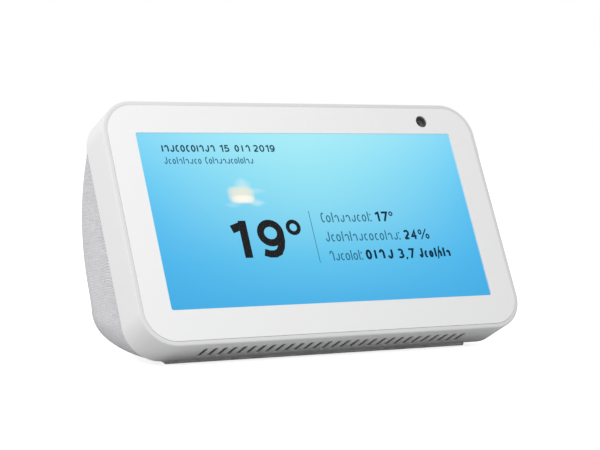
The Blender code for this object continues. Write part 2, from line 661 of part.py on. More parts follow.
# ---------------------------------------------------------------- loudspeaker
def loudspeaker():
    """A driver in a round tub. Its face is at height 0 on the speaker's axis, looking up it."""
    plate = rounded(SPEAKER_WIDTH, SPEAKER_WIDTH, 4 * MM, steps=3)
    mount = [(sx * SPEAKER_SCREWS, sy * SPEAKER_SCREWS) for sx in (-1, 1) for sy in (-1, 1)]
    holes = [circle(19.2 * MM, steps=32), *[circle(1.3 * MM, p, 10) for p in mount]]
    basket = slab("speaker_basket", [plate, *holes], -1.4 * MM, 0, "Z", SPEAKER, STEEL)
    cup = turned(
        "basket_cup",
        [(19.6, -0.3), (19.6, -3), (11.5, -9.2), (9, -9.2), (9, -8.4), (11, -8.4), (18.9, -2.6),
         (18.9, -0.3)],
        SPEAKER, steps=32, closed=True,
    )
    join(basket, cup)
    turned(
        "speaker_magnet",
        [(0, -6.4), (4.6, -6.4), (4.6, -12.4), (6.6, -12.4), (6.6, -7.4), (8.4, -7.4), (8.4, -9.5),
         (14, -9.5), (14, -13.4), (13.2, -14.2), (0, -14.2)],
        SPEAKER, STEEL, steps=28,
    )
    arch = [pi * (1 - i / 5) for i in range(6)]
    roll = [(16.9 + 1.7 * cos(t), -0.9 + 1.5 * sin(t)) for t in arch]
    under = [(16.9 + 1.3 * cos(t), -0.9 + 1.0 * sin(t)) for t in reversed(arch)]
    turned("speaker_surround", roll + under, SPEAKER, RUBBER, steps=32, closed=True)
    cone = [
        (0, -1.2), (3.4, -1.7), (5.2, -2.9), (14.2, -0.8), (14.9, -0.8), (14.9, -1.3), (14.2, -1.35),
        (5.9, -3.4), (5.9, -10.4), (5.4, -10.4), (5.4, -3.5), (3.2, -2.3), (0, -1.8),
    ]
    turned("speaker_cone", cone, SPEAKER, PAPER, steps=32)
    tub = [
        (0, -15), (14.8, -15), (20.6, -1.7), (23.4, -1.7), (23.4, -3.1), (21.8, -3.1), (16, -16.4),
        (0, -16.4),
    ]
    turned("speaker_tub", tub, SPEAKER, DARK, steps=32)
    for i, (x, y) in enumerate(mount):
        screw(f"speaker_screw_{i + 1}", SPEAKER, 2.0, 1.1, 0.9, 4.4, (x / MM, y / MM, -1.7), (0, 0, -1))
    return mount


# ---------------------------------------------------------------- body, ports and base
def rear_body():
    """The fabric cover and the moulded housing under it, both open at the front and below."""
    fabric = shell("fabric_cover", body_rings(0.0), body_rings(FABRIC), CLOTH)
    inner = HOUSING_INSET + HOUSING_WALL
    housing = shell(
        "rear_housing", body_rings(HOUSING_INSET, spigot=SPIGOT), body_rings(inner, spigot=SPIGOT), SHELL
    )
    ports = rounded(PORT_PLATE[0] + 2 * GAP, PORT_PLATE[1] + 2 * GAP, PORT_PLATE[1] / 2, (0, PORT_Z))
    port_cutter = slab("port_cutter", [ports], 27 * MM, 45 * MM, "Y")
    cut(fabric, port_cutter)
    mount = loudspeaker()
    for i, (x, y) in enumerate(mount):
        x, y = x / MM, y / MM
        top = POST_UPPER if y < 0 else POST_LOWER
        post = rod(f"speaker_post_{i + 1}", 2.6, (x, y, 0.3), (x, y, top), SPEAKER, sides=12)
        join(housing, post)
        cut(housing, rod(f"speaker_post_hole_{i + 1}", 1.05, (x, y, -1), (x, y, 3.4), SPEAKER, sides=12))
    for i, (x, y) in enumerate(BASE_SCREWS):
        side = 1 if x > 0 else -1
        end = (69.2 * side, y) if y < 0 else (x, 29.8)
        low = [min(x, end[0]) - (y > 0), min(y, end[1]) - (y < 0), 8.8]
        high = [max(x, end[0]) + (y > 0), max(y, end[1]) + (y < 0), 11]
        join(housing, rod(f"base_lug_{i + 1}", 3.4, (x, y, 4.8), (x, y, 11), sides=12))
        join(housing, box(f"base_lug_web_{i + 1}", low, high))
        cut(housing, rod(f"base_lug_hole_{i + 1}", 1.15, (x, y, 3), (x, y, 9.5), sides=10))
    cut(housing, port_cutter)
    lines = [(i - 4) * 3.6 * MM for i in range(9)]
    grille = [pill(2 * sqrt((17 * MM) ** 2 - y * y), 1.6 * MM, (0, y), steps=2) for y in lines]
    cut(housing, slab("grille_cutter", grille, 2.5 * MM, 16 * MM, "Z", SPEAKER))


def ports():
    """The plate at the back with three sockets, and the small board that carries them."""
    width, height = PORT_PLATE
    power, usb, audio = -14.5, 0.0, 14.5  # millimetres across
    plate = slab(
        "port_plate",
        [rounded(width, height, height / 2 - GAP, (0, PORT_Z)),
         circle(3.4 * MM, (power * MM, PORT_Z), 20),
         rounded(8 * MM, 3.2 * MM, 0.8 * MM, (usb * MM, PORT_Z - 0.8 * MM), steps=2),
         circle(2.0 * MM, (audio * MM, PORT_Z), 20)],
        PORT_FACE - 1.6 * MM, PORT_FACE, "Y", None, DARK,
    )
    for side in (-1, 1):
        for name, out, reach_back in (("arm", 22.4, 32.0), ("hook", 25.8, 31.3)):
            low = (min(19.6 * side, out * side), 29.9, 16.8)
            high = (max(19.6 * side, out * side), reach_back, 20.6)
            join(plate, box(f"port_{name}_{side}", low, high))
    top = IO_BOARD_TOP / MM
    back = PORT_FACE / MM - 1.9  # where the sockets' mouths stand, behind the plate
    mid = PORT_Z / MM
    box("io_board", (-24, 10, top - 1.2), (24, back - 1.8, top), None, BOARD)
    low, high = (power - 4.2, back - 13, top + 0.1), (power + 4.2, back, mid + 4.1)
    jack = box("power_socket", low, high, None, DARK, edge=0.3)
    cut(jack, rod("power_bore", 3.0, (power, back - 9, mid), (power, back + 2, mid), sides=20))
    join(jack, rod("power_pin", 0.9, (power, back - 10, mid), (power, back - 1, mid), sides=12))
    shelf = mid - 0.8
    low, high = (usb - 3.9, back - 5.2, top + 0.1), (usb + 3.9, back, shelf + 1.6)
    usb_box = box("usb_socket", low, high, None, STEEL)
    low, high = (usb - 3.5, back - 4.6, shelf - 1.15), (usb + 3.5, back + 2, shelf + 1.15)
    cut(usb_box, box("usb_mouth", low, high))
    low, high = (usb - 1.9, back - 4.9, shelf + 0.1), (usb + 1.9, back - 1, shelf + 0.7)
    join(usb_box, box("usb_tongue", low, high))
    low, high = (audio - 3.1, back - 12, top + 0.1), (audio + 3.1, back, mid + 2.9)
    audio_box = box("audio_socket", low, high, None, DARK, edge=0.3)
    cut(audio_box, rod("audio_bore", 1.8, (audio, back - 10.5, mid), (audio, back + 2, mid), sides=16))


def cables():
    """The flat cable from the port board to the main board, and the loudspeaker's lead."""
    top = IO_BOARD_TOP / MM
    path = [(14, top + 0.25), (6, top + 0.4), (-4, top + 1.2), (-12, top + 2.4), (-15.5, top + 4.2)]
    ribbon("io_cable", path, 4, 12, None, FLEX)
    lead = [(25, 14, 33), (27, 11, 32.6), (28, 6, 32), (28, 0, 31.6), (28, -3.4, 31)]
    wire("speaker_lead", 0.6, lead, DARK)


def base():
    under = BODY_BASE + 0.1 * MM
    outline = base_outline(0.6 * MM)
    plate = slab("base_plate", [outline], under, under + BASE_THICKNESS, "Z", None, SHELL)
    low = under / MM
    for i, (x, y) in enumerate(BASE_SCREWS):
        cut(plate, rod(f"base_hole_{i + 1}", 1.4, (x, y, 0), (x, y, 6), sides=12))
        cut(plate, rod(f"base_counterbore_{i + 1}", 2.6, (x, y, 0), (x, y, low + 1.4), sides=12))
        screw(f"base_screw_{i + 1}", None, 2.2, 1.1, 1.0, 6, (x, y, low + 1.15), (0, 0, -1))
    for side in (-1, 1):
        post = (18 * side, 14, low + 2), (18 * side, 14, IO_BOARD_TOP / MM - 1.5)
        join(plate, rod(f"io_board_post_{side}", 2.4, *post, sides=12))
    foot = slab("rubber_foot", [base_outline(2.2 * MM)], 0, FOOT_HEIGHT, "Z", None, RUBBER)
    soften(foot, 0.4, segments=1, angle=radians(70))


def build():
    front_frame()
    screen_stack()
    bracket()
    electronics()
    for name, x in zip(("mute", "volume_down", "volume_up"), BUTTON_PLACES):
        push_button(name, x)
    microphones()
    switch_board()
    camera_and_shutter()
    rear_body()
    ports()
    cables()
    base()


build()
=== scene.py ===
"""The looks of the smart display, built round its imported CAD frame."""

import json

from math import cos, pi, radians, sin

import bmesh
import bpy
import numpy as np
from mathutils import Euler, Matrix, Vector
from mathutils.geometry import interpolate_bezier

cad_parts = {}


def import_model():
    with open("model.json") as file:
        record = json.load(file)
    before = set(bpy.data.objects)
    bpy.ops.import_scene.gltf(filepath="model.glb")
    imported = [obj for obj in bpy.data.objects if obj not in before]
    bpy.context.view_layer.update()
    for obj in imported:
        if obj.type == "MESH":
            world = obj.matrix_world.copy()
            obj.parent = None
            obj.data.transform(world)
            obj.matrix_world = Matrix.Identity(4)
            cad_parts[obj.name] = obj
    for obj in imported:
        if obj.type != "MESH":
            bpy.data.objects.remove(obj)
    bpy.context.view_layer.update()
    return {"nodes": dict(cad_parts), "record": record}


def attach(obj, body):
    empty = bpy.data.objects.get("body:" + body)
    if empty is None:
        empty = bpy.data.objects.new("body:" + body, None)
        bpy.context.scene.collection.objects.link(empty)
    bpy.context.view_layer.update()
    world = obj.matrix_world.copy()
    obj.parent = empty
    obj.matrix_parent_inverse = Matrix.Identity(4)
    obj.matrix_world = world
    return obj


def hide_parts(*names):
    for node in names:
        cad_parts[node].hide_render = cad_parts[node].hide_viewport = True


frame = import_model()
NODES = frame["nodes"]

MM = 0.001

# ---------------------------------------------------------------- the face's own frame
FACE_WIDTH, FACE_HEIGHT, FACE_CORNER = 148 * MM, 86.6 * MM, 12 * MM
FACE_LEAN = radians(25.2)
FACE_CENTRE = Vector((0, -18.4, 46.9)) * MM
FACE = Matrix.Translation(FACE_CENTRE) @ Euler((-FACE_LEAN, 0, 0)).to_matrix().to_4x4()
BAND_DEPTH, WALL, GAP = 15 * MM, 2 * MM, 0.3 * MM
SEAM = 1.61 * MM  # inset of the glass's edge from the frame's outside
TOP = FACE_HEIGHT / 2
CONTROL_DEPTH = 7.8 * MM
SHUTTER_X, SHUTTER_TRAVEL = 56.4 * MM, 5.4 * MM
CAMERA = (52.2 * MM, 36.4 * MM)  # across and up the face
READOUT = 0.63 * MM  # depth of the type on the screen
PORTS = (0, 18.5 * MM)  # the port plate's centre


# ---------------------------------------------------------------- shader helpers
class Look:
    """A Principled material with small helpers for its nodes."""

    def __init__(self, name, colour=(0.8, 0.8, 0.8), rough=0.5, metal=0.0, **sockets):
        self.material = bpy.data.materials.new(name)
        self.material.use_nodes = True
        self.nodes = self.material.node_tree.nodes
        self.links = self.material.node_tree.links
        self.shader = self.nodes["Principled BSDF"]
        self.material.cycles.emission_sampling = "NONE"
        self.shader.inputs["Base Color"].default_value = (*colour, 1)
        self.shader.inputs["Roughness"].default_value = rough
        self.shader.inputs["Metallic"].default_value = metal
        for socket, value in sockets.items():
            self.shader.inputs[socket.replace("_", " ")].default_value = value

    def node(self, kind, settings=None, **inputs):
        made = self.nodes.new(kind)
        for name, value in (settings or {}).items():
            setattr(made, name, value)
        for name, value in inputs.items():
            self.feed(made, name.replace("_", " "), value)
        return made

    def feed(self, node, name, value):
        socket = node.inputs[int(name)] if name.isdigit() else node.inputs[name]
        if isinstance(value, bpy.types.NodeSocket):
            self.links.new(value, socket)
        else:
            socket.default_value = value

    def math(self, operation, a, b=0.0, c=0.0, clamp=False):
        made = self.nodes.new("ShaderNodeMath")
        made.operation = operation
        made.use_clamp = clamp
        for i, value in enumerate((a, b, c)):
            self.feed(made, str(i), value)
        return made.outputs[0]

    def mix(self, factor, a, b):
        made = self.node("ShaderNodeMix", {"data_type": "RGBA"})
        self.feed(made, "0", factor)
        for i, value in ((6, a), (7, b)):
            if isinstance(value, bpy.types.NodeSocket):
                self.links.new(value, made.inputs[i])
            else:
                made.inputs[i].default_value = (*value, 1)
        return made.outputs[2]

    def ramp(self, factor, stops):
        made = self.node("ShaderNodeValToRGB", Fac=factor)
        elements = made.color_ramp.elements
        while len(elements) < len(stops):
            elements.new(0.5)
        for element, (place, colour) in zip(elements, stops):
            element.position = place
            element.color = (*colour, 1)
        return made.outputs["Color"]

    def place(self):
        return self.node("ShaderNodeTexCoord").outputs["Object"]

    def noise(self, scale, detail=2.0, rough=0.5, vector=None):
        made = self.node("ShaderNodeTexNoise", Scale=scale, Detail=detail, Roughness=rough)
        self.links.new(vector or self.place(), made.inputs["Vector"])
        return made.outputs["Fac"]

    def bump(self, height, distance, strength=1.0):
        made = self.node("ShaderNodeBump", Height=height, Distance=distance, Strength=strength)
        self.links.new(made.outputs["Normal"], self.shader.inputs["Normal"])

    def paint(self, socket, value):
        self.links.new(value, self.shader.inputs[socket])


def srgb(*levels):
    """Linear colour of 0 to 255 levels."""
    return tuple((c / 255 / 12.92) if c < 11 else ((c / 255 + 0.055) / 1.055) ** 2.4 for c in levels)


WHITE_TONE = srgb(240, 240, 240)


def shade(colour, factor):
    return tuple(c * factor for c in colour)


def moulded(name, colour, rough=0.42, grain=900, depth=0.012, cloud=0.03, **sockets):
    """Moulded plastic: a fine spark-eroded grain, with faint clouding in its colour and gloss."""
    look = Look(name, colour, rough, **sockets)
    drift = look.noise(22, 3, 0.55)
    look.paint("Base Color", look.mix(drift, shade(colour, 1 - cloud), shade(colour, 1 + cloud)))
    fine = look.noise(grain * 4, 2, 0.6)
    blend = look.math("MULTIPLY_ADD", fine, 0.12, rough - 0.06)
    look.paint("Roughness", look.math("MULTIPLY_ADD", drift, 0.06, blend))
    look.bump(fine, depth * MM)
    return look.material


def moulded_frame():
    """The frame's white, with shade painted into it: greyer on the shoulder beside the glass, and painted
    shade, a dark grey, inside the slots.
    """
    look = Look("frame_white", WHITE_TONE, 0.55)
    grain = look.noise(4400, 2, 0.6)
    drift = look.noise(22, 3, 0.55)
    white = look.mix(drift, shade(WHITE_TONE, 0.99), shade(WHITE_TONE, 1.01))
    split = look.node("ShaderNodeSeparateXYZ", Vector=look.place())
    across, depth, up = (split.outputs[axis] for axis in "XYZ")
    # Painted shade: the shoulder beside the glass is painted greyer, 0.78 of the white over the front 0.25
    # mm, fading out by 0.75 mm depth.
    behind = look.math("MULTIPLY_ADD", depth, 1 / (0.5 * MM), -0.5, clamp=True)
    shoulder_painted_shade = look.mix(behind, shade(WHITE_TONE, 0.78), white)
    # Painted shade: the insides of the slots along the bottom are painted dark grey, 0.3 of the white.
    inward = look.math("MULTIPLY_ADD", look.math("ADD", up, TOP), 1 / (0.5 * MM), -0.2, clamp=True)
    slot_shade_mask = look.math("COMPARE", across, 0.0, 52.6 * MM)
    slot_shade_mask = look.math("MULTIPLY", slot_shade_mask, look.math("COMPARE", depth, 8.25 * MM, 4.0 * MM))
    slot_shade_mask = look.math("MULTIPLY", slot_shade_mask, look.math("LESS_THAN", up, 3 * MM - TOP))
    shaded = look.math("MULTIPLY", inward, slot_shade_mask)
    look.paint("Base Color", look.mix(shaded, shoulder_painted_shade, shade(WHITE_TONE, 0.3)))
    look.paint("Roughness", look.math("MULTIPLY_ADD", grain, 0.12, 0.5))
    look.bump(grain, 0.006 * MM)
    return look.material


def metal(name, colour, rough=0.35, brushed=1.0):
    """Rolled or machined metal with fine lines along X and a little staining."""
    look = Look(name, colour, rough, 1.0)
    stretch = look.node("ShaderNodeMapping", Vector=look.place(), Scale=(1.0, 26.0, 26.0))
    lines = look.noise(160, 4, 0.7, stretch.outputs[0])
    stain = look.noise(60, 4, 0.6)
    look.paint("Base Color", look.mix(stain, shade(colour, 0.82), shade(colour, 1.06)))
    look.paint("Roughness", look.math("MULTIPLY_ADD", lines, 0.22 * brushed, rough - 0.08))
    look.bump(lines, 0.004 * MM * brushed)
    return look.material


def rubbery(name, colour, rough=0.8):
    look = Look(name, colour, rough)
    pores = look.noise(2600, 3, 0.6)
    dust = look.noise(140, 5, 0.65)
    dusty = look.ramp(dust, [(0.35, colour), (0.8, shade(colour, 1.7))])
    look.paint("Base Color", dusty)
    look.paint("Roughness", look.math("MULTIPLY_ADD", pores, 0.18, rough - 0.09))
    look.bump(pores, 0.02 * MM)
    return look.material


def board(name):
    """Solder mask over copper: pads and tracks as fine lighter cells."""
    look = Look(name, (0.03, 0.16, 0.08), 0.35)
    cells = look.node("ShaderNodeTexVoronoi", {"feature": "DISTANCE_TO_EDGE"}, Scale=420.0)
    look.links.new(look.place(), cells.inputs["Vector"])
    track = look.ramp(cells.outputs["Distance"], [(0.03, (0.05, 0.24, 0.12)), (0.06, (0.02, 0.13, 0.07))])
    look.paint("Base Color", track)
    look.bump(cells.outputs["Distance"], 0.02 * MM)
    return look.material


def film(name):
    """A polyimide flat cable, with its copper tracks showing as fine stripes across X."""
    look = Look(name, (0.55, 0.3, 0.06), 0.35)
    split = look.node("ShaderNodeSeparateXYZ", Vector=look.place())
    stripe = look.math("FRACT", look.math("MULTIPLY", split.outputs["X"], 1 / (0.5 * MM)))
    look.paint("Base Color", look.ramp(stripe, [(0.5, (0.62, 0.36, 0.08)), (0.6, (0.36, 0.17, 0.03))]))
    look.bump(stripe, 0.02 * MM)
    return look.material


def weave(name):
    """Fine plain-weave cloth in light grey melange. Its threads follow the cloth attribute."""
    look = Look(name, (0.55, 0.55, 0.57), 0.9, Sheen_Weight=0.25, Sheen_Roughness=0.5)
    run = look.node("ShaderNodeAttribute", {"attribute_name": "cloth"}).outputs["Vector"]
    pitch = 0.52 * MM
    waver = look.noise(260, 2, 0.5)
    split = look.node("ShaderNodeSeparateXYZ", Vector=run)
    drift = look.math("MULTIPLY", waver, 0.5)
    across, along = (
        look.math("ADD", look.math("MULTIPLY", split.outputs[axis], 1 / pitch), drift)
        for axis in ("X", "Y")
    )
    warp, weft = look.math("FLOOR", across), look.math("FLOOR", along)
    cell = look.node("ShaderNodeCombineXYZ", X=warp, Y=weft)
    odd = look.math("MODULO", look.math("ABSOLUTE", look.math("ADD", warp, weft)), 2.0)
    round_across = look.math("ABSOLUTE", look.math("SINE", look.math("MULTIPLY", across, pi)))
    round_along = look.math("ABSOLUTE", look.math("SINE", look.math("MULTIPLY", along, pi)))
    over = look.math("ADD", look.math("MULTIPLY", round_across, odd),
                     look.math("MULTIPLY", round_along, look.math("SUBTRACT", 1.0, odd)))
    under = look.math("MULTIPLY", look.math("MULTIPLY", round_across, round_along), 0.5)
    height = look.math("ADD", look.math("MULTIPLY", over, 0.75), under)
    thread = look.node("ShaderNodeTexWhiteNoise", {"noise_dimensions": "2D"}, Vector=cell.outputs[0])
    patch = look.noise(70, 3, 0.6)
    tone = look.math("ADD", look.math("MULTIPLY", thread.outputs["Value"], 0.45),
                     look.math("MULTIPLY", patch, 0.55))
    dyed = look.ramp(tone, [
        (0.15, srgb(208, 207, 213)), (0.5, srgb(226, 226, 229)), (0.85, srgb(237, 237, 239)),
    ])
    shadowed = look.mix(look.math("POWER", height, 0.7, clamp=True), srgb(172, 172, 178), dyed)
    look.paint("Base Color", shadowed)
    look.bump(height, 0.1 * MM, 0.55)
    return look.material


# ---------------------------------------------------------------- geometry helpers
def piece(name, mesh, body, look, stands_for=(), slot=None, local=None):
    """An object of this mesh that rides on a body. local puts it in the face's own frame."""
    made = bpy.data.objects.new(name, mesh)
    bpy.context.scene.collection.objects.link(made)
    if local is not None:
        made.matrix_world = local
    mesh.materials.clear()
    mesh.materials.append(look)
    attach(made, body)
    if stands_for:
        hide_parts(*stands_for)
    return made


def mesh_of(form, name, sharp=35):
    bmesh.ops.remove_doubles(form, verts=form.verts, dist=1e-7)
    bmesh.ops.recalc_face_normals(form, faces=form.faces)
    if form.calc_volume(signed=True) < 0:
        bmesh.ops.reverse_faces(form, faces=form.faces)
    mesh = bpy.data.meshes.new(name)
    form.to_mesh(mesh)
    form.free()
    mesh.shade_smooth()
    mesh.set_sharp_from_angle(angle=radians(sharp))
    return mesh


def lofted(name, rings, closed=False, caps=True, into=None, sharp=35):
    """A skin over rings of the same number of points, capped at its ends or closed on itself."""
    form = into or bmesh.new()
    rows = [[form.verts.new(p) for p in ring] for ring in rings]
    pairs = list(zip(rows, rows[1:]))
    if closed:
        pairs.append((rows[-1], rows[0]))
    for low, high in pairs:
        for i in range(len(low)):
            j = (i + 1) % len(low)
            form.faces.new((low[i], low[j], high[j], high[i]))
    if caps and not closed:
        form.faces.new(rows[0])
        form.faces.new(rows[-1])
    return form if into is not None else mesh_of(form, name, sharp)


def rounded(width, height, radius, centre=(0, 0), steps=16):
    points = []
    for quarter, (sx, sy) in enumerate([(1, -1), (1, 1), (-1, 1), (-1, -1)]):
        for i in range(steps + 1):
            angle = (quarter - 1 + i / steps) * pi / 2
            points.append((
                centre[0] + sx * (width / 2 - radius) + radius * cos(angle),
                centre[1] + sy * (height / 2 - radius) + radius * sin(angle),
            ))
    return points


def pill(length, width, centre=(0, 0), steps=12):
    return rounded(length, width, width / 2 - 1e-7, centre, steps)


def on_face(outline, depth):
    """A flat outline of X and Z pairs, at this Y."""
    return [(x, depth, z) for x, z in outline]


def on_top(outline, height):
    """A flat outline of X and depth pairs, at a height up the face."""
    return [(x, depth, height) for x, depth in outline]


def circle(centre, radius, steps):
    """Points round a circle."""
    turns = [2 * pi * i / steps for i in range(steps)]
    return [(centre[0] + radius * cos(t), centre[1] + radius * sin(t)) for t in turns]


def lathed(name, profile, centre, steps=40):
    """A ring turned round an axis along the face's depth, from radius and depth pairs."""
    rings = [on_face(circle(centre, radius, steps), depth) for radius, depth in profile]
    return lofted(name, rings, closed=True)


def carved(name, mesh, cutters):
    """mesh with a mesh of cutters taken away from it."""
    body = bpy.data.objects.new(name + "_blank", mesh)
    tool = bpy.data.objects.new(name + "_cutter", cutters)
    for made in (body, tool):
        bpy.context.scene.collection.objects.link(made)
    step = body.modifiers.new("cut", "BOOLEAN")
    step.operation = "DIFFERENCE"
    step.object = tool
    bpy.context.view_layer.update()
    graph = bpy.context.evaluated_depsgraph_get()
    result = bpy.data.meshes.new_from_object(body.evaluated_get(graph))
    for made in (body, tool):
        bpy.data.objects.remove(made)
    result.name = name
    result.shade_smooth()
    result.set_sharp_from_angle(angle=radians(32))
    return result


def weighted(obj):
    """Keeps broad flat faces flat between their smooth rounded edges."""
    step = obj.modifiers.new("normals", "WEIGHTED_NORMAL")
    step.keep_sharp = True
    step.weight = 80


# ---------------------------------------------------------------- camera, light and floor
def seen_or_thrown(tree, seen, thrown, output):
    """What the camera sees of this surface, and the dimmer light that it throws on the object."""
    path = tree.nodes.new("ShaderNodeLightPath")
    both = tree.nodes.new("ShaderNodeMixShader")
    tree.links.new(path.outputs["Is Camera Ray"], both.inputs[0])
    tree.links.new(thrown.outputs[0], both.inputs[1])
    tree.links.new(seen.outputs[0], both.inputs[2])
    tree.links.new(both.outputs[0], output.inputs["Surface"])


def set_camera():
    shot = bpy.data.cameras.new("camera")
    shot.sensor_width = 36
    shot.lens = 113.6
    shot.clip_start, shot.clip_end = 0.05, 60
    eye = bpy.data.objects.new("camera", shot)
    bpy.context.scene.collection.objects.link(eye)
    turn, dip = radians(30.28), radians(2.34)
    right = Vector((cos(turn), -sin(turn), 0))
    ahead = Vector((sin(turn) * cos(dip), cos(turn) * cos(dip), -sin(dip)))
    up = right.cross(ahead)
    place = FACE_CENTRE - ahead * 0.6448 - right * 0.0065 - up * 0.0028
    eye.matrix_world = Matrix.Translation(place) @ Matrix((right, up, -ahead)).transposed().to_4x4()
    bpy.context.scene.camera = eye


def set_floor():
    form = bmesh.new()
    bmesh.ops.create_grid(form, x_segments=1, y_segments=1, size=14)
    ground = bpy.data.meshes.new("floor")
    form.to_mesh(ground)
    form.free()
    floor = bpy.data.objects.new("floor", ground)
    bpy.context.scene.collection.objects.link(floor)
    look = Look("floor", (0.93, 0.93, 0.93), 0.9)
    output = look.nodes["Material Output"]
    look.nodes.remove(look.shader)
    lit = look.node("ShaderNodeBsdfDiffuse", Color=(0.9, 0.9, 0.9, 1))
    glow = look.node("ShaderNodeEmission", Color=(1, 1, 1, 1), Strength=0.8)
    seen = look.nodes.new("ShaderNodeAddShader")
    look.links.new(lit.outputs[0], seen.inputs[0])
    look.links.new(glow.outputs[0], seen.inputs[1])
    thrown = look.node("ShaderNodeBsdfDiffuse", Color=(0.54, 0.54, 0.54, 1))
    seen_or_thrown(look.material.node_tree, seen, thrown, output)
    ground.materials.append(look.material)


def set_light():
    world = bpy.data.worlds.new("studio")
    world.use_nodes = True
    tree = world.node_tree
    seen = tree.nodes["Background"]
    seen.inputs["Color"].default_value = (1, 1, 1, 1)
    thrown = tree.nodes.new("ShaderNodeBackground")
    thrown.inputs["Color"].default_value = (1, 1, 1, 1)
    thrown.inputs["Strength"].default_value = 0.68
    seen_or_thrown(tree, seen, thrown, tree.nodes["World Output"])
    bpy.context.scene.world = world

    for name, way, away, size, power in (
        ("key", (-0.48, -0.6, 0.72), 0.47, 0.3, 1.17),
        ("rim", (-0.75, 0.6, 0.3), 0.7, 0.4, 0.75),
    ):
        lamp = bpy.data.lights.new(name, "AREA")
        lamp.shape = "SQUARE"
        lamp.size = size
        lamp.energy = power
        light = bpy.data.objects.new(name, lamp)
        bpy.context.scene.collection.objects.link(light)
        way = Vector(way).normalized()
        light.location = FACE_CENTRE + way * away
        light.rotation_euler = way.to_track_quat("Z", "Y").to_euler()
        light.visible_camera = False


bpy.context.scene.view_settings.view_transform = "Standard"
set_camera()
set_floor()
set_light()

# ---------------------------------------------------------------- finishes
WHITE = moulded("white_plastic", srgb(240, 240, 240), 0.38, 1100, 0.006, 0.008)
INK = moulded("bezel_white", srgb(240, 240, 240), 0.3, 1500, 0.002, 0.008)
SHELL = moulded("housing_plastic", srgb(214, 214, 216), 0.5, 700, 0.02, 0.02)
BLACK = moulded("black_plastic", (0.035, 0.035, 0.038), 0.42, 700, 0.02, 0.12)
DARK_PORT = moulded("port_plastic", srgb(150, 150, 153), 0.5, 700, 0.015, 0.04)
WELL = moulded("camera_black", (0.13, 0.13, 0.133), 0.5, 900, 0.01, 0.1)
PRINT = moulded("symbol_grey", srgb(120, 120, 124), 0.5, 900, 0.004, 0.05)
STEEL = metal("steel", (0.6, 0.6, 0.61), 0.32)
ALUMINIUM = metal("aluminium", (0.75, 0.76, 0.78), 0.38, 0.6)
RUBBER = rubbery("foot_rubber", srgb(226, 226, 228))
PAD = rubbery("soft_pad", (0.3, 0.33, 0.36), 0.75)
BOARD = board("circuit_board")
FILM = film("flex_cable")
PAPER = rubbery("speaker_paper", (0.03, 0.03, 0.033), 0.7)
CLOTH = weave("body_fabric")
FRAME_WHITE = moulded_frame()


def clear_glass():
    look = Look("cover_glass", (0.03, 0.03, 0.03), 0.06, Alpha=0.02, IOR=1.5)
    smear = look.noise(30, 4, 0.6)
    look.paint("Roughness", look.math("MULTIPLY_ADD", smear, 0.08, 0.03))
    return look.material


def lens_glass():
    look = Look("lens_glass", (0.02, 0.02, 0.03), 0.04, Coat_Weight=1.0, Coat_Roughness=0.02)
    # Painted reflection: the base colour turns a lighter purple towards grazing angles, standing in for the
    # coated lens's tinted reflection.
    edge = look.node("ShaderNodeLayerWeight", Blend=0.35).outputs["Facing"]
    look.paint("Base Color", look.mix(edge, (0.015, 0.015, 0.03), (0.06, 0.03, 0.09)))
    return look.material


GLASS = clear_glass()
LENS = lens_glass()

BY_SLOT = {
    "white_plastic": WHITE, "cover_glass": GLASS, "white_mask": INK, "display_panel": BLACK,
    "body_fabric": CLOTH, "housing_plastic": SHELL, "foot_rubber": RUBBER, "black_plastic": BLACK,
    "lens_glass": LENS, "steel": STEEL, "aluminium": ALUMINIUM, "circuit_board": BOARD,
    "flex_cable": FILM, "speaker_paper": PAPER, "soft_pad": PAD,
}
for part in frame["record"]["subparts"]:
    node = NODES[part["node"]]
    node.data.materials.clear()
    node.data.materials.append(BY_SLOT[part["material_slot"]])


